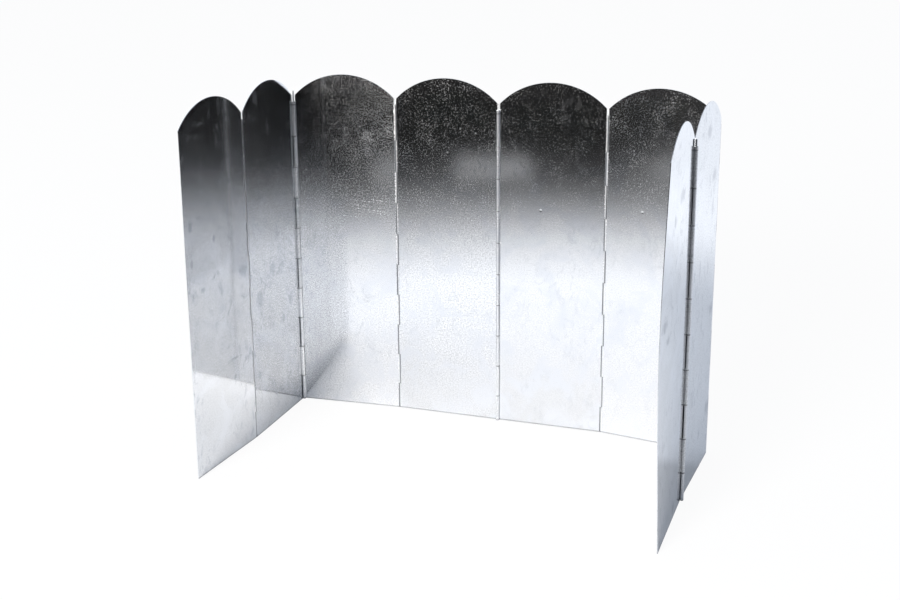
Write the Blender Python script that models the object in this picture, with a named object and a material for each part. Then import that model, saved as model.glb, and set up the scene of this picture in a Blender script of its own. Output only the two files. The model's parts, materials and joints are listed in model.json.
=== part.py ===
# Folding stove windscreen: eight thin aluminium plates with rounded tops, hinged edge to edge.
# Each hinge is a row of knuckles curled from the plates themselves, alternately from the left
# plate and the right one, with a loose steel wire as its pin. The rolls lie on the inner face at
# every second hinge and on the outer face at the others, so that the row folds like an accordion.
# Metres, +Z up. The screen stands on z = 0, opened as a U round the stove, its mouth towards -Y.
# Plates and hinges are counted from the left, seen from the mouth.

import math

import bmesh
import bpy
from mathutils import Matrix

# Plates
hinge_height = 0.2247  # from the ground to the V between two rounded tops
arch_rise = 0.0153  # how far a rounded top stands above that V
plate_pitch = 0.0735  # from one hinge line to the next, along the plate
end_plate_reach = 0.0705  # from the last hinge line to the free edge of an end plate
sheet_thickness = 0.0004

# Hinges
pin_radius = 0.0008
pin_clearance = 0.0004  # between the wire and the inside of a knuckle
curl_end_gap = 0.0002  # between the end of a curl and its own sheet
knuckle_end_gap = 0.0003  # between the ends of neighbouring knuckles
notch_clearance = 0.0004  # between a knuckle and the notch it turns in
neck_clearance = 0.0002  # between the sight line of the wire and a plate's edge above the knuckles
bottom_knuckle_height = 0.0183
knuckle_height = 0.0222
top_knuckle_height = 0.0243
neck_height = 0.0045  # bare wire between the top knuckle and the V
pin_foot_gap = 0.0004  # from the ground up to the wire
pin_head_gap = 0.0003  # from the top of a wire up to the V
proud_pin = 2  # the hinge whose wire has worked upwards
proud_pin_rise = 0.0031  # how far it stands above the V

# How the screen is opened: the turn of each hinge in degrees, positive towards the outside
rest_bends = (5.0, -87.0, -2.5, -1.0, -7.5, -87.0, 4.0)

# Smoothness of the round shapes
arch_steps = 20
curl_steps = 10
pin_sides = 12

aluminium_color = (0.78, 0.79, 0.81, 1.0)
steel_color = (0.52, 0.52, 0.54, 1.0)

# Sizes that follow
plate_count = len(rest_bends) + 1
root_plate = plate_count // 2
knuckle_inner_radius = pin_radius + pin_clearance
roll_offset = knuckle_inner_radius + sheet_thickness / 2  # hinge line to the sheet's middle plane
knuckle_outer_radius = knuckle_inner_radius + sheet_thickness
notch_reach = knuckle_outer_radius + notch_clearance
neck_reach = pin_radius + neck_clearance
curl_turn = 2 * math.pi - math.acos((knuckle_inner_radius - curl_end_gap) / knuckle_outer_radius)


def roll_side(hinge):
    """Which way a hinge's roll stands off its plates: 1 is the outside, -1 the inside."""
    return 1 if hinge % 2 else -1


def knuckle_levels():
    """Heights of the joints between knuckles, from the ground to the foot of the neck."""
    middle = hinge_height - neck_height - bottom_knuckle_height - top_knuckle_height
    count = max(1, round(middle / knuckle_height))
    levels = [0.0]
    levels += [bottom_knuckle_height + middle * step / count for step in range(count + 1)]
    return levels + [hinge_height - neck_height]


def has_knuckle(plate, row):
    """Rows count from 1 at the bottom. Even plates hold the odd rows, and odd plates the even ones."""
    return (plate + row) % 2 == 1


def make_material(name, color, roughness):
    material = bpy.data.materials.new(name)
    material.use_nodes = True
    shader = material.node_tree.nodes["Principled BSDF"]
    shader.inputs["Base Color"].default_value = color
    shader.inputs["Metallic"].default_value = 1.0
    shader.inputs["Roughness"].default_value = roughness
    return material


def add_object(name, mesh, color, roughness):
    mesh.materials.append(make_material(name + "_metal", color, roughness))
    piece = bpy.data.objects.new(name, mesh)
    bpy.context.scene.collection.objects.link(piece)
    return piece


def arch_points(left, right):
    """Points of the round top, from its right end to its left end."""
    half = (right - left) / 2
    radius = (half**2 + arch_rise**2) / (2 * arch_rise)
    reach = math.asin(half / radius)
    if arch_rise > half:
        reach = math.pi - reach
    low = hinge_height + arch_rise - radius
    turns = [reach * (1 - 2 * step / arch_steps) for step in range(arch_steps + 1)]
    return [(left + half + radius * math.sin(turn), low + radius * math.cos(turn)) for turn in turns]


def curl_knuckle(sheet, low, high, tip_x, hinge_line, turn):
    """Carries the sheet on from one edge of a plate to the hinge line, and rolls it round that line."""
    edge = sheet.edges.get((low, high))
    ends = bmesh.ops.extrude_edge_only(sheet, edges=[edge])["geom"]
    for corner in [part for part in ends if isinstance(part, bmesh.types.BMVert)]:
        corner.co.x = tip_x
    tip = [part for part in ends if isinstance(part, bmesh.types.BMEdge)]
    bmesh.ops.spin(
        sheet, geom=tip, cent=(*hinge_line, 0), axis=(0, 0, 1), angle=turn, steps=curl_steps
    )


def plate_mesh(plate):
    """The middle surface of one plate, in a frame with x along the plate, y out and the left end at x = 0."""
    left_hinged, right_hinged = plate > 1, plate < plate_count
    width = plate_pitch if left_hinged and right_hinged else end_plate_reach
    core_left = notch_reach if left_hinged else 0.0
    core_right = width - notch_reach if right_hinged else width
    top_left = neck_reach if left_hinged else 0.0
    top_right = width - neck_reach if right_hinged else width

    sheet = bmesh.new()
    levels = knuckle_levels()
    heights = [0.0]
    for row, (low, high) in enumerate(zip(levels, levels[1:]), start=1):
        inset = knuckle_end_gap / 2 * (1 if has_knuckle(plate, row) else -1)
        top_row = row == len(levels) - 1
        if row > 1:
            heights.append(low + inset)
        if top_row and inset > 0:
            heights.append(high)
    if not has_knuckle(plate, len(levels) - 1):
        heights.append(levels[-1] + knuckle_end_gap)
    sides = [
        (sheet.verts.new((core_left, 0, height)), sheet.verts.new((core_right, 0, height)))
        for height in heights
    ]
    for row, ((a, b), (d, c)) in enumerate(zip(sides, sides[1:]), start=1):
        sheet.faces.new((a, b, c, d))
        if not has_knuckle(plate, row):
            continue
        if left_hinged:
            side = roll_side(plate - 1)
            curl_knuckle(sheet, a, d, 0.0, (0.0, side * roll_offset), -side * curl_turn)
        if right_hinged:
            side = roll_side(plate)
            curl_knuckle(sheet, b, c, width, (width, side * roll_offset), side * curl_turn)

    # The head of the plate: a fan of faces under the round top
    foot = heights[-1]
    rim = [(x, z) for x, z in arch_points(top_left, top_right)]
    if left_hinged:
        rim.append((top_left, foot))
    head = [sheet.verts.new((x, 0, z)) for x, z in rim] + list(sides[-1])
    if right_hinged:
        head.append(sheet.verts.new((top_right, 0, foot)))
    middle = sheet.verts.new((width / 2, 0, hinge_height))
    for near, far in zip(head, head[1:] + head[:1]):
        sheet.faces.new((middle, near, far))
    bmesh.ops.recalc_face_normals(sheet, faces=sheet.faces)

    mesh = bpy.data.meshes.new(f"plate_{plate}")
    sheet.to_mesh(mesh)
    sheet.free()
    return mesh, width


def hinge_line_of(plate, hinge, width):
    """Where a hinge line stands in its plate's own frame."""
    return (width if hinge == plate else 0.0, roll_side(hinge) * roll_offset, 0.0)


def make_plate(plate):
    """One plate, with its origin on the hinge that joins it to the plates nearer the middle."""
    mesh, width = plate_mesh(plate)
    if plate == root_plate:
        origin = (width / 2, 0.0, 0.0)
    else:
        origin = hinge_line_of(plate, plate - 1 if plate > root_plate else plate, width)
    mesh.transform(Matrix.Translation([-value for value in origin]))
    mesh.shade_smooth()
    mesh.set_sharp_from_angle(angle=math.radians(40))
    piece = add_object(f"plate_{plate}", mesh, aluminium_color, 0.25)
    wall = piece.modifiers.new("Sheet", "SOLIDIFY")
    wall.thickness = sheet_thickness
    wall.offset = 0.0
    wall.use_even_offset = True
    return piece, origin, width


def join_plate(plates, plate, inner):
    """Hangs a plate on its neighbour nearer the middle, turned about their hinge."""
    hinge = min(plate, inner)
    piece = plates[plate][0]
    neighbour, origin, width = plates[inner]
    line = hinge_line_of(inner, hinge, width)
    piece.parent = neighbour
    piece.location = [a - b for a, b in zip(line, origin)]
    turn = rest_bends[hinge - 1] if plate > inner else -rest_bends[hinge - 1]
    piece.rotation_euler.z = math.radians(turn)


def make_pin(hinge, plates):
    """The wire of one hinge, held by the plate nearer the middle."""
    top = hinge_height + (proud_pin_rise if hinge == proud_pin else -pin_head_gap)
    length = top - pin_foot_gap
    wire = bmesh.new()
    bmesh.ops.create_cone(
        wire, cap_ends=True, segments=pin_sides, radius1=pin_radius, radius2=pin_radius, depth=length
    )
    bmesh.ops.translate(wire, verts=wire.verts, vec=(0, 0, pin_foot_gap + length / 2))
    mesh = bpy.data.meshes.new(f"hinge_pin_{hinge}")
    wire.to_mesh(mesh)
    wire.free()
    mesh.shade_smooth()
    mesh.set_sharp_from_angle(angle=math.radians(40))
    piece = add_object(f"hinge_pin_{hinge}", mesh, steel_color, 0.35)
    inner = hinge if hinge >= root_plate else hinge + 1
    neighbour, origin, width = plates[inner]
    piece.parent = neighbour
    piece.location = [a - b for a, b in zip(hinge_line_of(inner, hinge, width), origin)]


def centre_on_floor(frame, plates):
    """Turns the screen so that its corner hinges lie along X, and puts its footprint's centre at the origin."""
    corners = [number for number, bend in enumerate(rest_bends, start=1) if abs(bend) > 45]
    bpy.context.view_layer.update()
    left = plates[corners[0]][0].matrix_world.translation.copy()
    right = plates[corners[-1] + 1][0].matrix_world.translation.copy()
    frame.rotation_euler.z = -math.atan2(right.y - left.y, right.x - left.x)
    graph = bpy.context.evaluated_depsgraph_get()
    graph.update()
    points = []
    for piece, _, _ in plates.values():
        shape = piece.evaluated_get(graph)
        points += [shape.matrix_world @ vertex.co for vertex in shape.data.vertices]
    for axis in (0, 1):
        values = [point[axis] for point in points]
        frame.location[axis] = -(min(values) + max(values)) / 2


def main():
    for leftover in list(bpy.data.objects):
        bpy.data.objects.remove(leftover)
    frame = bpy.data.objects.new("windscreen", None)
    bpy.context.scene.collection.objects.link(frame)
    plates = {plate: make_plate(plate) for plate in range(1, plate_count + 1)}
    plates[root_plate][0].parent = frame
    for plate in range(root_plate - 1, 0, -1):
        join_plate(plates, plate, plate + 1)
    for plate in range(root_plate + 1, plate_count + 1):
        join_plate(plates, plate, plate - 1)
    for hinge in range(1, plate_count):
        make_pin(hinge, plates)
    centre_on_floor(frame, plates)


main()
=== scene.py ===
import json
import math
import random

import bmesh
import bpy
from mathutils import Matrix, Vector, noise


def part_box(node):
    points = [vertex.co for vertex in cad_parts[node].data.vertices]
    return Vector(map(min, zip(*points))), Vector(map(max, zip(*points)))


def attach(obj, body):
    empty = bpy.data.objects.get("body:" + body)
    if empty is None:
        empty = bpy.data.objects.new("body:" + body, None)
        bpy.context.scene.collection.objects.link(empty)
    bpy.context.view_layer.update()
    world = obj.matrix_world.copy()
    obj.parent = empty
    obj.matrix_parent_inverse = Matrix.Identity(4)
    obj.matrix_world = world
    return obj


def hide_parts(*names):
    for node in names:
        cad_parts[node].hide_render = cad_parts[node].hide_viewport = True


# Folding stove windscreen of eight aluminium plates, opened as a U on a white table

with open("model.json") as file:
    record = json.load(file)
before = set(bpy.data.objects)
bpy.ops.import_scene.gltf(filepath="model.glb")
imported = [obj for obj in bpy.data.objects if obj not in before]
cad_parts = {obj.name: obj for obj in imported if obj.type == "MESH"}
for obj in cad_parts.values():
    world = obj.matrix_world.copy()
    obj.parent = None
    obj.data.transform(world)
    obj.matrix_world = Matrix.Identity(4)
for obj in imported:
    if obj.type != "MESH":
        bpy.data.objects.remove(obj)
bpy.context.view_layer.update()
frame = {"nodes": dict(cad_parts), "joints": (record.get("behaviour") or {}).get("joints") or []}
scene = bpy.context.scene
joints = {joint["name"]: joint for joint in frame["joints"]}
plateCount = len(joints) + 1
middlePlate = plateCount // 2
print("frame loaded:", plateCount, "plates and", len(joints), "hinges")


# Shader sums

class Signal:  # a shader socket that can stand in a Python sum
    def __init__(self, graph, socket):
        self.graph = graph
        self.socket = socket

    def __add__(self, other):
        return self.graph.sum("ADD", self, other)

    def __sub__(self, other):
        return self.graph.sum("SUBTRACT", self, other)

    def __rsub__(self, other):
        return self.graph.sum("SUBTRACT", other, self)

    def __mul__(self, other):
        return self.graph.sum("MULTIPLY", self, other)

    def __truediv__(self, other):
        return self.graph.sum("DIVIDE", self, other)

    def __rtruediv__(self, other):
        return self.graph.sum("DIVIDE", other, self)

    __radd__ = __add__
    __rmul__ = __mul__

    def part(self, name):  # another output of the same node
        return Signal(self.graph, self.socket.node.outputs[name])


class Graph:  # the nodes of one material or world
    def __init__(self, tree):
        tree.nodes.clear()
        self.tree = tree

    def make(self, kind, settings=None, inputs=None, output=0):
        node = self.tree.nodes.new(kind)
        for name, value in (settings or {}).items():
            if name == "stops":
                self.setStops(node.color_ramp, value)
            else:
                setattr(node, name, value)
        for name, value in (inputs or {}).items():
            if isinstance(value, Signal):
                self.tree.links.new(value.socket, node.inputs[name])
            else:
                node.inputs[name].default_value = value
        return Signal(self, node.outputs[output]) if node.outputs else node

    def setStops(self, ramp, stops):
        while len(ramp.elements) < len(stops):
            ramp.elements.new(1.0)
        for element, (place, color) in zip(ramp.elements, stops):
            element.position = place
            element.color = color

    def sum(self, operation, first, second):
        return self.make("ShaderNodeMath", {"operation": operation}, {0: first, 1: second})

    def larger(self, first, second):
        return self.sum("MAXIMUM", first, second)

    def smaller(self, first, second):
        return self.sum("MINIMUM", first, second)

    def rise(self, value, low, high, start=0.0, end=1.0):  # eases from start to end between low and high
        return self.make(
            "ShaderNodeMapRange",
            {"interpolation_type": "SMOOTHSTEP"},
            {"Value": value, "From Min": low, "From Max": high, "To Min": start, "To Max": end},
        )

    def blend(self, first, second, share):  # two colours
        return self.make("ShaderNodeMix", {"data_type": "RGBA"}, {0: share, 6: first, 7: second}, 2)

    def shift(self, vector, amount):
        return self.make("ShaderNodeVectorMath", {"operation": "ADD"}, {0: vector, 1: amount})

    def stretch(self, vector, amount):
        return self.make("ShaderNodeVectorMath", {"operation": "MULTIPLY"}, {0: vector, 1: amount})

    # Noise with features of the given size
    def cloud(self, vector, size, detail=2.0, roughness=0.5, distortion=0.0):
        return self.make(
            "ShaderNodeTexNoise",
            None,
            {
                "Vector": vector,
                "Scale": 1 / size,
                "Detail": detail,
                "Roughness": roughness,
                "Distortion": distortion,
            },
        )

    def measure(self, vector, other, operation):  # a number from two vectors
        return self.make("ShaderNodeVectorMath", {"operation": operation}, {0: vector, 1: other}, "Value")

    def metal(self, color, roughness, height):  # the whole surface of a metal piece
        relief = self.make("ShaderNodeBump", None, {"Height": height, "Strength": 1.0, "Distance": 1.0})
        surface = self.make(
            "ShaderNodeBsdfPrincipled",
            None,
            {"Base Color": color, "Metallic": 1.0, "Roughness": roughness, "Normal": relief},
        )
        self.make("ShaderNodeOutputMaterial", None, {"Surface": surface})


def newMaterial(name):
    material = bpy.data.materials.new(name)
    material.use_nodes = True
    return material, Graph(material.node_tree)


# Aluminium sheet. Its patterns lie in the sheet's own plane: x along the plate and z up, in metres

sheetFinish = {
    # Noises: the size of their features, detail, roughness and distortion
    "patchNoise": (0.013, 3.0, 0.65),
    "grainNoise": (0.0010, 2.0, 0.6),
    "cloudNoise": (0.022, 4.0, 0.62, 0.8),
    "spotNoise": (0.006, 4.0, 0.68, 1.2),
    "smudgedAreas": (0.03,),
    "spotStretch": (1.0, 1.0, 0.6),
    "startSlope": 0.6,  # how far up a plate's patterns start, for each metre along
    # Where on its noise a pattern starts, and where it is full
    "speckRange": (0.635, 0.815),
    "cloudRange": (0.42, 0.68),
    "spotRange": (0.50, 0.66),
    "smudgedRange": (0.38, 0.60),
    "color": (0.72, 0.725, 0.735, 1.0),
    "dullColor": (0.56, 0.57, 0.585, 1.0),
    "cloudColor": (0.665, 0.68, 0.71, 1.0),
    "smudgeColor": (0.45, 0.47, 0.50, 1.0),
    # Grime with painted shade: shadow in the hinge gaps and at the knuckle ends, contact shadow on the lower
    # edge
    "grimeAndShadeColor": (0.16, 0.165, 0.17, 1.0),
    "grimeAndShadeReach": (-0.0003, 0.0001, 0.0009, 0.0014),  # past a hinge line, where the sheet starts to curl
    "grimeAndShadeShare": 0.7,
    "mostGrimeAndShade": 0.8,
    "footReach": (0.0004, 0.0011),  # how high grime and a painted contact shadow stand on the lower edge
    "footGrimeAndShadow": 0.6,
    "darkFootHeight": 0.075,  # how high a plate is darker towards its foot
    "roughness": 0.08,
    "grainDepth": 0.000012,
    "speckRoughness": 0.114,  # what a speck of the grain adds
    "veil": 0.0,  # what an even veil over the sheet adds
    "patchiness": 1.3,  # how much the haze varies from place to place
    "hazeMargin": 0.001,  # at the hinges, without haze
    "hazeSpecks": 0.25,  # how many more specks the haze brings
    "thinHaze": 0.3,  # the haze at which specks are at their full strength
    "toneDepth": 1.6,
    "smudgeShare": 0.5,
    "smudgeRoughness": 0.08,
    "bendRoughness": 0.20,  # what bending adds, on the knuckles
    "bendReach": (0.0016, 0.0004),  # from a hinge line
    "jointReach": (0.0002, 0.0006),  # grime and painted shadow in the gaps at a knuckle's ends
    "scratchWidth": 0.00022,
    "scratchFade": 0.3,  # the share of its length over which an end fades
    "scratchRoughness": 0.13,
    "markRaggedness": 2.5,
    "markRange": (0.3, 1.0),
    "markShare": 0.8,
    "dentSize": 0.0013,
    "dentDepth": 0.00003,
    "dentRoughness": 0.07,  # what a dent adds
    # A dent's colour is a painted highlight, lighter than the sheet
    "dentHighlightColor": (0.95, 0.955, 0.96, 1.0),
}

# For each plate: its haze at the left and right edges, its shares of fine tone, dullness, darkening towards
# the foot, clouds and smudges, and the start of its patterns. A scratch runs between two points, a mark has
# a middle, half its width and half its height, and a dent has a middle. What a plate names besides stands in
# for the common value
sheetLooks = {
    1: {
        "haze": (0.0, 0.1),
        "tone": 0.45,
        "dull": 0.7,
        "foot": 0.25,
        "clouds": 0.6,
        "smudges": 1.7,
        "start": 1.7,
        "marks": [
            ((0.0064, 0.1651), (0.0028, 0.0045)),
            ((0.0058, 0.1411), (0.0022, 0.0035)),
            ((0.0162, 0.1213), (0.0030, 0.0020)),
            ((0.0314, 0.1508), (0.0018, 0.0030)),
            ((0.0629, 0.1212), (0.0065, 0.0060)),
            ((0.0471, 0.0650), (0.0070, 0.0014)),
            ((0.0480, 0.0517), (0.0022, 0.0035)),
        ],
    },
    2: {
        "haze": (0.1, 0.1),
        "tone": 0.85,
        "dull": 0.75,
        "foot": 0.2,
        "clouds": 0.7,
        "smudges": 1.8,
        "start": 4.1,
        "marks": [
            ((0.0331, 0.1109), (0.0060, 0.0050)),
            ((0.0129, 0.0941), (0.0065, 0.0080)),
            ((0.0466, 0.0703), (0.0032, 0.0040)),
            ((0.0589, 0.0818), (0.0045, 0.0050)),
            ((0.0077, 0.0424), (0.0030, 0.0040)),
        ],
    },
    3: {
        "haze": (0.54, 0.82),
        "patchiness": 0.85,
        "tone": 0.8,
        "dull": 0.0,
        "foot": 0.1,
        "clouds": 0.8,
        "smudges": 0.7,
        "start": 7.3,
        "scratches": [
            ((0.031, 0.1500), (0.072, 0.1462)),
            ((0.036, 0.1522), (0.068, 0.1509)),
            ((0.040, 0.1468), (0.071, 0.1441)),
            ((0.046, 0.1451), (0.070, 0.1422)),
            ((0.050, 0.1536), (0.072, 0.1517)),
            ((0.029, 0.1409), (0.052, 0.1397)),
        ],
    },
    4: {
        "haze": (0.52, 0.45),
        "tone": 1.0,
        "dull": 0.0,
        "foot": 0.55,
        "clouds": 0.9,
        "smudges": 0.5,
        "start": 9.8,
        "dents": [(0.0377, 0.1892), (0.0470, 0.2062), (0.0576, 0.2033)],
    },
    5: {
        "haze": (0.42, 0.36),
        "tone": 0.4,
        "dull": 0.0,
        "foot": 0.6,
        "clouds": 1.0,
        "smudges": 0.5,
        "start": 12.2,
        "dents": [(0.0295, 0.1539)],
    },
    6: {
        "haze": (0.44, 0.41),
        "veil": 0.026,
        "tone": 0.4,
        "dull": 0.0,
        "foot": 0.3,
        "clouds": 1.0,
        "smudges": 0.4,
        "start": 15.6,
        "dents": [(0.0253, 0.1585)],
    },
    7: {
        "haze": (0.05, 0.05),
        "tone": 0.9,
        "dull": 0.95,
        "foot": 0.0,
        "clouds": 0.3,
        "smudges": 1.1,
        "smudgeColor": (0.29, 0.30, 0.33, 1.0),
        "bendRoughness": 0.42,
        "start": 18.9,
        "marks": [
            ((0.0333, 0.2219), (0.0080, 0.0060)),
            ((0.0135, 0.1912), (0.0080, 0.0060)),
            ((0.0060, 0.1025), (0.0060, 0.0050)),
            ((0.0060, 0.0345), (0.0070, 0.0060)),
        ],
    },
    8: {
        "haze": (0.05, 0.05),
        "tone": 0.35,
        "dull": 0.85,
        "foot": 0.0,
        "clouds": 0.7,
        "smudges": 0.9,
        "smudgeColor": (0.29, 0.30, 0.33, 1.0),
        "bendRoughness": 0.42,
        "start": 21.4,
        "marks": [
            ((0.0311, 0.1984), (0.0070, 0.0060)),
            ((0.0480, 0.1870), (0.0040, 0.0050)),
            ((0.0600, 0.1315), (0.0070, 0.0045)),
            ((0.0525, 0.1204), (0.0060, 0.0040)),
            ((0.0255, 0.0070), (0.0060, 0.0060)),
        ],
    },
}


def scratchMask(graph, x, z, ends):  # 1 on a thin straight line between two points
    (left, first), (right, last) = ends
    offset = z - (first + (x - left) * ((last - first) / (right - left)))
    line = graph.rise(graph.sum("ABSOLUTE", offset, 0.0), 0.0, sheetFinish["scratchWidth"], 1.0, 0.0)
    reach = (right - left) * sheetFinish["scratchFade"]
    return line * graph.rise(x, left, left + reach) * graph.rise(x, right - reach, right, 1.0, 0.0)


# Where the sheet is bent, and where grime and painted shade darken it: painted shadow in the gaps along the
# hinge lines and at the knuckle ends, and a painted contact shadow on the lower edge. The knuckles lie
# beyond the hinge lines, where x is below 0 or above the width
def bendGrimeAndShade(graph, x, z, plate, width):
    share = sheetFinish["grimeAndShadeShare"]
    far, near = sheetFinish["bendReach"]
    first, full, fading, last = sheetFinish["grimeAndShadeReach"]
    levels = knuckleLevels()
    fromJoint = graph.sum("PINGPONG", z - levels[1], (levels[2] - levels[1]) / 2)
    ends = graph.rise(fromJoint, *sheetFinish["jointReach"], share, 0.0)
    grimeAndShade = graph.rise(z, *sheetFinish["footReach"], sheetFinish["footGrimeAndShadow"], 0.0)
    bend = 0.0
    sides = []
    if plate > 1:
        sides.append(x * -1.0)
    if plate < plateCount:
        sides.append(x - width)
    for past in sides:
        bend = bend + graph.rise(past, -far, -near)
        line = graph.rise(past, first, full, 0.0, share) * graph.rise(past, fading, last, 1.0, 0.0)
        grimeAndShade = grimeAndShade + line + graph.rise(past, first, full) * ends
    return bend, graph.smaller(grimeAndShade, sheetFinish["mostGrimeAndShade"])


def aluminiumSheet(plate, width):
    look = {**sheetFinish, **sheetLooks[plate]}
    material, graph = newMaterial(f"aluminium_sheet_{plate}")
    flat = graph.make("ShaderNodeAttribute", {"attribute_name": "sheetPlace"}, None, "Vector")
    x = graph.make("ShaderNodeSeparateXYZ", None, {"Vector": flat}, "X")
    z = x.part("Z")
    place = graph.shift(flat, (look["start"], 0.0, look["start"] * look["startSlope"]))

    # Grain: specks of a rougher surface, more of them where the haze is thick
    patches = graph.cloud(place, *look["patchNoise"])
    haze = graph.larger(graph.rise(x, 0.0, width, *look["haze"]) + (patches - 0.5) * look["patchiness"], 0.0)
    margin = look["hazeMargin"]
    haze = haze * graph.rise(x, 0.0, margin) * graph.rise(x, width - margin, width, 1.0, 0.0)
    grain = graph.cloud(place, *look["grainNoise"])
    specks = graph.rise(grain + haze * look["hazeSpecks"], *look["speckRange"])
    specks = specks * graph.rise(haze, 0.0, look["thinHaze"])

    clouds = graph.rise(graph.cloud(place, *look["cloudNoise"]), *look["cloudRange"])
    spots = graph.cloud(graph.stretch(place, look["spotStretch"]), *look["spotNoise"])
    smudged = graph.rise(graph.cloud(place, *look["smudgedAreas"]), *look["smudgedRange"])
    smudges = graph.rise(spots, *look["spotRange"]) * smudged
    color = graph.blend(look["color"], look["dullColor"], look["dull"])
    tone = (grain - 0.5) * (patches + 0.5) * (look["toneDepth"] * look["tone"])
    color = graph.stretch(color, 1.0 + tone)
    # Darker towards the foot of the plate, more where the patches are
    foot = graph.rise(z, 0.0, look["darkFootHeight"], look["foot"], 0.0) * (patches + 0.5)
    color = graph.blend(color, look["dullColor"], graph.smaller(foot, 1.0))
    color = graph.blend(color, look["cloudColor"], clouds * look["clouds"])
    color = graph.blend(color, look["smudgeColor"], smudges * (look["smudgeShare"] * look["smudges"]))
    bend, grimeAndShade = bendGrimeAndShade(graph, x, z, plate, width)
    # Grime and painted shade: shadow along the hinge gaps and knuckle ends, contact shadow on the lower edge
    color = graph.blend(color, look["grimeAndShadeColor"], grimeAndShade)
    roughness = look["roughness"] + look["veil"] + specks * look["speckRoughness"]
    roughness = roughness + bend * look["bendRoughness"]
    roughness = roughness + smudges * (look["smudgeRoughness"] * look["smudges"])

    height = grain * haze * look["grainDepth"]
    for scratch in look.get("scratches", []):
        roughness = roughness + scratchMask(graph, x, z, scratch) * look["scratchRoughness"]
    for (left, up), (wide, high) in look.get("marks", []):
        away = graph.stretch(graph.shift(flat, (-left, 0.0, -up)), (1 / wide, 1.0, 1 / high))
        away = graph.make("ShaderNodeVectorMath", {"operation": "LENGTH"}, {0: away}, "Value")
        ragged = away + (spots - 0.5) * look["markRaggedness"]
        mark = graph.rise(ragged, *look["markRange"], look["markShare"], 0.0)
        color = graph.blend(color, look["smudgeColor"], mark)
    for left, up in look.get("dents", []):
        dent = graph.rise(graph.measure(flat, (left, 0.0, up), "DISTANCE"), 0.0, look["dentSize"], 1.0, 0.0)
        height = height - dent * look["dentDepth"]
        # a painted highlight in each dent, besides its real hollow and roughness
        color = graph.blend(color, look["dentHighlightColor"], dent)
        roughness = roughness + dent * look["dentRoughness"]
    graph.metal(color, roughness, height)
    return material


# Plates. Each is one sheet, with its knuckles curled from its own edges

plateShape = {
    "thickness": 0.0004,
    "hingeHeight": 0.2247,
    "wireRadius": 0.00055,
    "wireClearance": 0.00025,
    "curlEndGap": 0.0002,
    "knuckleEndGap": 0.0003,
    "notchClearance": 0.0002,  # from the inside of a curl to the neighbour's edge
    "neckClearance": 0.00025,
    "bottomKnuckle": 0.0183,
    "knuckle": 0.0222,
    "topKnuckle": 0.0243,
    "neck": 0.0045,
    "columns": 24,
    "headRows": 8,
    "knuckleRows": 4,
    "curlSteps": 28,
    "edgeChamfer": 0.00005,
    "wave": 0.00012,  # how far a sheet is from flat
    "waveLength": 0.07,
    "waveStep": 0.37,  # from one plate's wave to the next
    "flatMargin": 0.012,  # beside a hinge, where the wave dies out
    "bow": {8: -0.0030},  # how far the free edge of a plate stands out at half its height
    "bowPowers": (1.6, 1.2),  # along the plate and up it
    "curlSlack": 12.0,  # degrees that a curl may stop short
    "curlTightness": (0.985, 1.01),
    "seed": 100,
    "edgeSearch": 0.0003,  # how much nearer than the farthest corner the free edge may lie
    "chamferAngle": 50,
    "sharpAngle": 28,
}
insideRadius = plateShape["wireRadius"] + plateShape["wireClearance"]
curlRadius = insideRadius + plateShape["thickness"] / 2
outsideRadius = insideRadius + plateShape["thickness"]
notchReach = insideRadius + plateShape["notchClearance"]
neckReach = plateShape["wireRadius"] + plateShape["neckClearance"]
curlTurn = 2 * math.pi - math.acos((insideRadius - plateShape["curlEndGap"]) / outsideRadius)


def rollSide(hinge):  # 1 where the knuckles stand on the outside of the U, -1 on the inside
    return 1 if hinge % 2 else -1


def hingeLine(hinge):
    return Vector(joints[f"hinge_{hinge}"]["pos_m"][:2])


def freeEdge(plate, hinge):  # the middle of the edge farthest from the plate's only hinge
    corners = [vertex.co.xy for vertex in frame["nodes"][f"plate_{plate}"].data.vertices]
    line = hingeLine(hinge)
    reach = max((corner - line).length for corner in corners) - plateShape["edgeSearch"]
    far = [corner for corner in corners if (corner - line).length > reach]
    low = [min(corner[axis] for corner in far) for axis in (0, 1)]
    high = [max(corner[axis] for corner in far) for axis in (0, 1)]
    return (Vector(low) + Vector(high)) / 2


def platePlace(plate):  # the plate's width, and the matrix from its own frame to the world
    leftHinge = plate - 1 if plate > 1 else None
    rightHinge = plate if plate < plateCount else None
    left = hingeLine(leftHinge) if leftHinge else freeEdge(plate, rightHinge)
    right = hingeLine(rightHinge) if rightHinge else freeEdge(plate, leftHinge)
    leftOffset = rollSide(leftHinge) * curlRadius if leftHinge else 0.0
    rightOffset = rollSide(rightHinge) * curlRadius if rightHinge else 0.0
    span = right - left
    width = math.sqrt(span.length_squared - (rightOffset - leftOffset) ** 2)
    turn = math.atan2(span.y, span.x) - math.atan2(rightOffset - leftOffset, width)
    origin = left - Matrix.Rotation(turn, 2) @ Vector((0.0, leftOffset))
    return width, Matrix.Translation((*origin, 0.0)) @ Matrix.Rotation(turn, 4, "Z")


def knuckleLevels():
    top = plateShape["hingeHeight"] - plateShape["neck"]
    middle = top - plateShape["bottomKnuckle"] - plateShape["topKnuckle"]
    count = round(middle / plateShape["knuckle"])
    levels = [plateShape["bottomKnuckle"] + middle * step / count for step in range(count + 1)]
    return [0.0] + levels + [top]


def hasKnuckle(plate, row):  # rows count from 1 at the bottom
    return (plate + row) % 2 == 1


def archHeight(x, left, right, rise):
    half = (right - left) / 2
    radius = (half**2 + rise**2) / (2 * rise)
    across = x - (left + right) / 2
    return plateShape["hingeHeight"] + rise - radius + math.sqrt(max(0.0, radius**2 - across**2))


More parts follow.
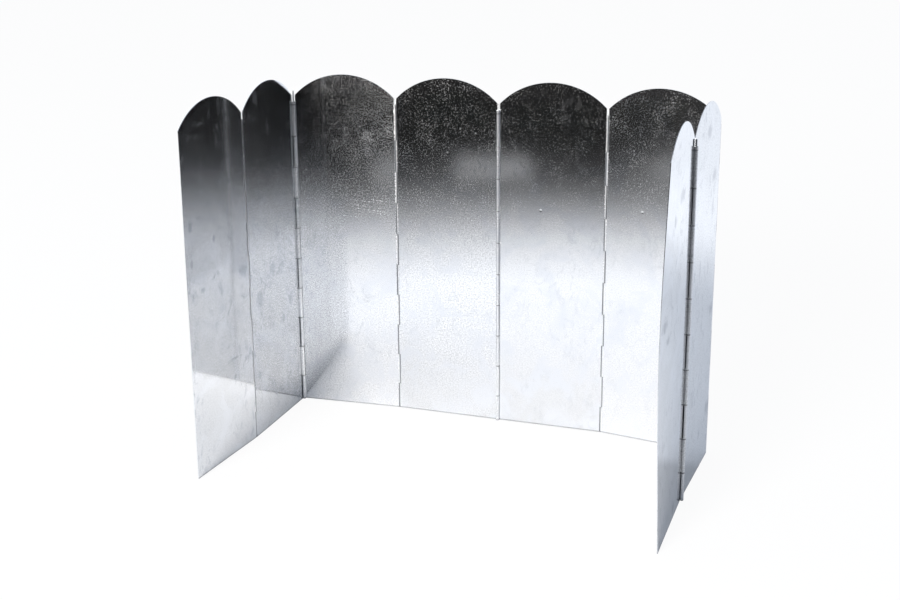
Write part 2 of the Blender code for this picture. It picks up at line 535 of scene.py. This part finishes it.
def swell(plate, x, z, width, height):  # how far the sheet stands off its flat plane
    fromLeft = min(1.0, x / plateShape["flatMargin"]) if plate > 1 else 1.0
    fromRight = min(1.0, (width - x) / plateShape["flatMargin"]) if plate < plateCount else 1.0
    point = Vector((x, plate * plateShape["waveStep"], z)) / plateShape["waveLength"]
    wave = plateShape["wave"] * noise.noise(point) * fromLeft * fromRight
    bow = plateShape["bow"].get(plate, 0.0)
    along, up = plateShape["bowPowers"]
    return wave + bow * (x / width) ** along * math.sin(math.pi * min(1.0, z / height)) ** up


def rowHeights(plate):  # of the rows of a sheet's body, with those that each of its knuckles takes
    levels = knuckleLevels()
    gap = plateShape["knuckleEndGap"]
    rows = plateShape["knuckleRows"]
    stops = [0.0]
    for row, low in enumerate(levels[1:-1], start=2):
        stops.append(low + gap / 2 * (1 if hasKnuckle(plate, row) else -1))
    stops.append(levels[-1] + (0.0 if hasKnuckle(plate, len(levels) - 1) else gap))
    heights = [stops[0]]
    for low, high in zip(stops, stops[1:]):
        heights += [low + (high - low) * step / rows for step in range(1, rows + 1)]
    return heights


def plateSheet(plate):
    width, place = platePlace(plate)
    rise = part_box(f"plate_{plate}")[1].z - plateShape["hingeHeight"]
    height = plateShape["hingeHeight"] + rise
    leftHinged = plate > 1
    rightHinged = plate < plateCount
    coreLeft = notchReach if leftHinged else 0.0
    coreRight = width - notchReach if rightHinged else width
    topLeft = neckReach if leftHinged else 0.0
    topRight = width - neckReach if rightHinged else width
    dice = random.Random(plateShape["seed"] + plate)

    sheet = bmesh.new()
    places = sheet.verts.layers.float_vector.new("sheetPlace")

    def corner(x, y, z, along=None):
        vertex = sheet.verts.new((x, y, z))
        vertex[places] = (x if along is None else along, 0.0, z)
        return vertex

    def weave(lines):  # faces between neighbouring lines of corners
        for first, second in zip(lines, lines[1:]):
            for a, b, c, d in zip(first, first[1:], second[1:], second):
                sheet.faces.new((a, b, c, d))

    heights = rowHeights(plate)
    columns = plateShape["columns"]
    across = [coreLeft + (coreRight - coreLeft) * step / columns for step in range(columns + 1)]
    body = [[corner(x, swell(plate, x, z, width, height), z) for x in across] for z in heights]
    weave(body)

    # The head, from the foot of the neck to the round top
    wide = ([topLeft] if leftHinged else []) + across + ([topRight] if rightHinged else [])
    head = []
    for step in range(plateShape["headRows"] + 1):
        line = []
        for x in wide:
            z = heights[-1]
            z += (archHeight(x, topLeft, topRight, rise) - z) * step / plateShape["headRows"]
            shared = step == 0 and x in across
            known = body[-1][across.index(x)] if shared else None
            line.append(known or corner(x, swell(plate, x, z, width, height), z))
        head.append(line)
    weave(head)

    # Knuckles: the sheet runs on to the hinge line and curls round it
    rows = plateShape["knuckleRows"]
    for side, hinged in ((-1, leftHinged), (1, rightHinged)):
        if not hinged:
            continue
        hinge = plate - 1 if side < 0 else plate
        edge = 0 if side < 0 else -1
        neck = topLeft if side < 0 else topRight
        middle = Vector((0.0 if side < 0 else width, rollSide(hinge) * curlRadius))
        for row in range(1, len(knuckleLevels())):
            if not hasKnuckle(plate, row):
                continue
            turn = curlTurn - math.radians(dice.uniform(0.0, plateShape["curlSlack"]))
            tight = dice.uniform(*plateShape["curlTightness"])
            lines = []
            for step in range((row - 1) * rows, row * rows + 1):
                z = heights[step]
                line = [body[step][edge]]
                onHead = step == len(heights) - 1
                line.append(head[0][edge] if onHead else corner(neck, 0.0, z))
                for part in range(plateShape["curlSteps"] + 1):
                    angle = turn * part / plateShape["curlSteps"]
                    radius = curlRadius * (1 + (tight - 1) * min(1.0, angle))
                    x = middle.x + side * radius * math.sin(angle)
                    y = middle.y - rollSide(hinge) * radius * math.cos(angle)
                    line.append(corner(x, y, z, middle.x + side * curlRadius * angle))
                lines.append(line)
            weave(lines)
    bmesh.ops.recalc_face_normals(sheet, faces=sheet.faces)

    mesh = bpy.data.meshes.new(f"plate_{plate}_sheet")
    sheet.to_mesh(mesh)
    sheet.free()
    mesh.transform(place)
    return thickened(mesh)


def thickened(mesh):  # gives the sheet its thickness, and breaks its cut edges
    draft = bpy.data.objects.new(mesh.name, mesh)
    scene.collection.objects.link(draft)
    wall = draft.modifiers.new("Wall", "SOLIDIFY")
    wall.thickness = plateShape["thickness"]
    wall.offset = 0.0
    wall.use_even_offset = True
    chamfer = draft.modifiers.new("Chamfer", "BEVEL")
    chamfer.width = plateShape["edgeChamfer"]
    chamfer.segments = 1
    chamfer.limit_method = "ANGLE"
    chamfer.angle_limit = math.radians(plateShape["chamferAngle"])
    depsgraph = bpy.context.evaluated_depsgraph_get()
    solid = bpy.data.meshes.new_from_object(draft.evaluated_get(depsgraph), depsgraph=depsgraph)
    solid.name = mesh.name
    bpy.data.objects.remove(draft)
    bpy.data.meshes.remove(mesh)
    solid.shade_smooth()
    solid.set_sharp_from_angle(angle=math.radians(plateShape["sharpAngle"]))
    return solid


def addPiece(name, mesh, material, body, node):
    mesh.materials.clear()
    mesh.materials.append(material)
    piece = bpy.data.objects.new(name, mesh)
    scene.collection.objects.link(piece)
    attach(piece, body)
    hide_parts(node)
    return piece


for plate in range(1, plateCount + 1):
    piece = addPiece(
        f"plate_{plate}_sheet",
        plateSheet(plate),
        aluminiumSheet(plate, platePlace(plate)[0]),
        f"panel_{plate}",
        f"plate_{plate}",
    )
    print("sheet", plate, "made:", len(piece.data.polygons), "faces")


# Hinge wires

wireShape = {"sides": 24, "lengths": 12, "cropLength": 0.0004, "cropRadius": 0.0004, "sharpAngle": 25}
wireFinish = {
    "lineNoise": (0.00022, 2.0, 0.6),
    "lineStretch": (1.0, 1.0, 0.04),
    "tarnishNoise": (0.006, 4.0, 0.6),
    "tarnishRange": (0.5, 0.72),
    "tarnishShare": 0.6,
    "lineRoughness": 0.1,
    "tarnishRoughness": 0.2,
    "color": (0.36, 0.365, 0.375, 1.0),
    "tarnish": (0.22, 0.215, 0.21, 1.0),
    "roughness": 0.3,
    "lineDepth": 0.000006,
}


def drawnSteel():
    material, graph = newMaterial("drawn_steel_wire")
    place = graph.make("ShaderNodeTexCoord", None, None, "Object")
    lines = graph.cloud(graph.stretch(place, wireFinish["lineStretch"]), *wireFinish["lineNoise"])
    tarnish = graph.rise(graph.cloud(place, *wireFinish["tarnishNoise"]), *wireFinish["tarnishRange"])
    color = graph.blend(wireFinish["color"], wireFinish["tarnish"], tarnish * wireFinish["tarnishShare"])
    roughness = wireFinish["roughness"] + lines * wireFinish["lineRoughness"]
    roughness = roughness + tarnish * wireFinish["tarnishRoughness"]
    graph.metal(color, roughness, lines * wireFinish["lineDepth"])
    return material


def hingeWire(hinge):  # a round wire with cropped ends
    low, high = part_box(f"hinge_pin_{hinge}")
    line = hingeLine(hinge)
    crop = wireShape["cropLength"]
    full = plateShape["wireRadius"]
    count = wireShape["lengths"]
    rings = [(low.z, wireShape["cropRadius"]), (low.z + crop, full)]
    rings += [(low.z + (high.z - low.z) * step / count, full) for step in range(1, count)]
    rings += [(high.z - crop, full), (high.z, wireShape["cropRadius"])]
    turns = [2 * math.pi * side / wireShape["sides"] for side in range(wireShape["sides"])]
    wire = bmesh.new()
    loops = []
    for z, radius in rings:
        loops.append([
            wire.verts.new((line.x + radius * math.cos(turn), line.y + radius * math.sin(turn), z))
            for turn in turns
        ])
    for lower, upper in zip(loops, loops[1:]):
        for side in range(wireShape["sides"]):
            following = (side + 1) % wireShape["sides"]
            wire.faces.new((lower[side], lower[following], upper[following], upper[side]))
    wire.faces.new(list(reversed(loops[0])))
    wire.faces.new(loops[-1])
    mesh = bpy.data.meshes.new(f"hinge_{hinge}_wire")
    wire.to_mesh(mesh)
    wire.free()
    mesh.shade_smooth()
    mesh.set_sharp_from_angle(angle=math.radians(wireShape["sharpAngle"]))
    return mesh


steel = drawnSteel()
for hinge in range(1, plateCount):
    holder = hinge if hinge >= middlePlate else hinge + 1
    addPiece(
        f"hinge_{hinge}_wire",
        hingeWire(hinge),
        steel,
        f"panel_{holder}",
        f"hinge_pin_{hinge}",
    )
print("wires made:", plateCount - 1)


# Table and room. The camera sees white everywhere, and the screen's faint shadow. In reflections the
# table falls off towards a dark room in front of it

stage = {
    "floorRadius": 7.0,
    "floorSides": 64,
    "floorDrop": 0.0002,
    "whiteGlow": 0.93,  # of the table, as the camera sees it
    "shadowDepth": 0.055,
    "tableColor": (0.93, 0.93, 0.93, 1.0),
    # How light the table is in reflections, by the distance from the middle of the pool of light
    "poolCentre": (0.02, 0.05, 0.0),
    "poolFall": (
        (0.30, 1.0),
        (0.37, 0.85),
        (0.44, 0.68),
        (0.51, 0.48),
        (0.58, 0.28),
        (0.66, 0.13),
        (0.76, 0.045),
        (0.90, 0.011),
        (1.10, 0.002),
    ),
    # How the light changes across the table: two places, and its amounts at them
    "farLift": (-4.2, -3.0, 0.16, 0.0),
    "backGlow": (0.36, 0.64, 0.0, 0.45),
    "backFade": (0.65, 1.0, 1.0, 0.75),
    "leftFade": (-1.0, -0.40, 0.22, 1.0),
    "rightFade": (0.7, 1.3, 1.0, 0.35),
    # To the right of the right wing the table has a painted shadow of the wing, from wingSide out to
    # wingEnd.
    # wingShade says how far back that reaches, and how much darker it is
    "wingSide": (0.13, 0.14),
    "wingEnd": (0.4, 0.6),
    "wingShade": (0.035, 0.055, 0.24, 0.0),
    # A pale patch of painted light on the table, in the dark part, which the plates reflect
    "palePatch": {
        "centre": (-0.225, -0.735),
        "turn": -15.5,
        "halfSize": (0.055, 0.075),
        "edge": (0.85, 1.05),
        "light": 0.16,
    },
    # The dark room lies in front, between two sides that run from a point behind the screen. A side is
    # given by its steps to the right for each step forward
    "leftSide": (-0.62, -0.45),
    "rightSide": (1.2, 1.5),
    "roomPoint": 0.4,
    "leastDepth": 0.05,  # in front of that point
    "tableEnd": (-0.3, -0.1),  # at the back of the table's dark part
    "roomEnd": (-0.15, 0.0),
    "roomTop": (0.35, 0.7),
    "roomColor": (0.0075, 0.0075, 0.0088, 1.0),
    "wallColor": (0.80, 0.84, 0.92, 1.0),
    "skyColor": (0.89, 0.98, 1.13, 1.0),
    "skyStrength": 0.72,
}


white = (1.0, 1.0, 1.0, 1.0)


def inRoom(graph, x, depth):  # 1 between the two sides of the dark room
    aside = x / graph.larger(depth, stage["leastDepth"])
    return graph.rise(aside, *stage["leftSide"]) * graph.rise(aside, *stage["rightSide"], 1.0, 0.0)


# A pale patch of painted light on the table, added to its light in reflections
def patchLight(graph, place):
    palePatch = stage["palePatch"]
    offset = graph.shift(place, (-palePatch["centre"][0], -palePatch["centre"][1], 0.0))
    sides = []
    for half, turn in zip(palePatch["halfSize"], (palePatch["turn"], palePatch["turn"] + 90)):
        side = Matrix.Rotation(math.radians(turn), 3, "Z") @ Vector((1 / half, 0.0, 0.0))
        sides.append(graph.sum("ABSOLUTE", graph.measure(offset, side, "DOT_PRODUCT"), 0.0))
    return graph.rise(graph.larger(*sides), *palePatch["edge"], palePatch["light"], 0.0)


def tableMaterial():
    material, graph = newMaterial("white_table")
    place = graph.make("ShaderNodeNewGeometry", None, None, "Position")
    x = graph.make("ShaderNodeSeparateXYZ", None, {"Vector": place}, "X")
    y = x.part("Y")
    room = inRoom(graph, x, stage["roomPoint"] - y) * graph.rise(y, *stage["tableEnd"], 1.0, 0.0)
    distance = graph.measure(place, stage["poolCentre"], "DISTANCE")
    near = stage["poolFall"][0][0]
    far = stage["poolFall"][-1][0]
    stops = []
    for reach, light in stage["poolFall"]:
        stops.append(((reach - near) / (far - near), (light, light, light, 1.0)))
    fall = graph.make("ShaderNodeValToRGB", {"stops": stops}, {"Fac": (distance - near) / (far - near)})
    fall = graph.shift(fall, patchLight(graph, place) + graph.rise(y, *stage["farLift"]))
    light = graph.blend(white, fall, room)
    beside = graph.rise(x, *stage["wingSide"]) * graph.rise(x, *stage["wingEnd"], 1.0, 0.0)
    fade = graph.rise(x, *stage["leftFade"]) * (1.0 - beside * graph.rise(y, *stage["wingShade"]))
    fade = fade * graph.rise(x, *stage["rightFade"])
    light = graph.stretch(light, fade)
    lit = graph.make("ShaderNodeBsdfDiffuse", None, {"Color": graph.stretch(light, stage["tableColor"][:3])})
    backLight = graph.rise(y, *stage["backGlow"]) * graph.rise(y, *stage["backFade"])
    back = graph.make("ShaderNodeEmission", None, {"Color": white, "Strength": backLight})
    mirrored = graph.make("ShaderNodeAddShader", None, {0: lit, 1: back})
    shade = [stage["shadowDepth"]] * 3
    paper = graph.make("ShaderNodeBsdfDiffuse", None, {"Color": (*shade, 1.0)})
    glow = graph.make("ShaderNodeEmission", None, {"Color": white, "Strength": stage["whiteGlow"]})
    seen = graph.make("ShaderNodeAddShader", None, {0: paper, 1: glow})
    path = graph.make("ShaderNodeLightPath", None, None, "Is Camera Ray")
    surface = graph.make("ShaderNodeMixShader", None, {0: path, 1: mirrored, 2: seen})
    graph.make("ShaderNodeOutputMaterial", None, {"Surface": surface})
    return material


def makeFloor():
    table = bmesh.new()
    bmesh.ops.create_circle(table, cap_ends=True, segments=stage["floorSides"], radius=stage["floorRadius"])
    mesh = bpy.data.meshes.new("floor")
    table.to_mesh(mesh)
    table.free()
    mesh.materials.append(tableMaterial())
    floor = bpy.data.objects.new("floor", mesh)
    floor.location.z = -stage["floorDrop"]
    scene.collection.objects.link(floor)


def makeWorld():
    world = bpy.data.worlds.new("room")
    world.use_nodes = True
    scene.world = world
    graph = Graph(world.node_tree)
    direction = graph.make("ShaderNodeTexCoord", None, None, "Generated")
    x = graph.make("ShaderNodeSeparateXYZ", None, {"Vector": direction}, "X")
    y = x.part("Y")
    dark = inRoom(graph, x, y * -1.0) * graph.rise(y, *stage["roomEnd"], 1.0, 0.0)
    dark = dark * graph.rise(x.part("Z"), *stage["roomTop"], 1.0, 0.0)
    path = graph.make("ShaderNodeLightPath", None, None, "Is Camera Ray")
    room = graph.blend(stage["wallColor"], stage["roomColor"], dark)
    mirrored = graph.make("ShaderNodeBackground", None, {"Color": room, "Strength": 1.0})
    soft = graph.make(
        "ShaderNodeBackground", None, {"Color": stage["skyColor"], "Strength": stage["skyStrength"]}
    )
    backdrop = graph.make("ShaderNodeBackground", None, {"Color": white, "Strength": 1.0})
    light = graph.make("ShaderNodeMixShader", None, {0: path.part("Is Glossy Ray"), 1: soft, 2: mirrored})
    light = graph.make("ShaderNodeMixShader", None, {0: path, 1: light, 2: backdrop})
    graph.make("ShaderNodeOutputWorld", None, {"Surface": light})


makeFloor()
makeWorld()
print("table and room made")


# Light

keyLamp = {
    "azimuth": -13,
    "elevation": 20.5,
    "distance": 3.0,
    "size": 1.2,
    "power": 170.0,
    "color": (1.0, 0.97, 0.93),
}
light = bpy.data.lights.new("key", "AREA")
light.shape = "DISK"
light.size = keyLamp["size"]
light.energy = keyLamp["power"]
light.color = keyLamp["color"]
lamp = bpy.data.objects.new("key", light)
turn = Matrix.Rotation(math.radians(keyLamp["azimuth"]), 3, "Z")
tilt = Matrix.Rotation(math.radians(-keyLamp["elevation"]), 3, "X")
away = turn @ tilt @ Vector((0.0, -keyLamp["distance"], 0.0))
lamp.location = away
lamp.rotation_euler = (-away).to_track_quat("-Z", "Y").to_euler()
scene.collection.objects.link(lamp)
print("key lamp placed")


# Camera, fitted to the hinge lines and plate corners in the photograph

view = {
    "place": (0.26158, -0.74067, 0.36584),
    "azimuth": 19.887,
    "elevation": 14.818,
    "roll": -0.402,
    "focalPixels": 1303.7,
    "imageWidth": 900,
    "risePixels": -72,
    "sensorWidth": 36.0,
    "clipStart": 0.01,
}
camera = bpy.data.cameras.new("camera")
camera.sensor_width = view["sensorWidth"]
camera.lens = camera.sensor_width * view["focalPixels"] / view["imageWidth"]
camera.shift_y = view["risePixels"] / view["imageWidth"]
camera.clip_start = view["clipStart"]
eye = bpy.data.objects.new("camera", camera)
eye.matrix_world = (
    Matrix.Translation(view["place"])
    @ Matrix.Rotation(math.radians(view["azimuth"]), 4, "Z")
    @ Matrix.Rotation(math.radians(90 - view["elevation"]), 4, "X")
    @ Matrix.Rotation(math.radians(view["roll"]), 4, "Z")
)
scene.collection.objects.link(eye)
scene.camera = eye
scene.view_settings.view_transform = "Standard"
print("camera placed")
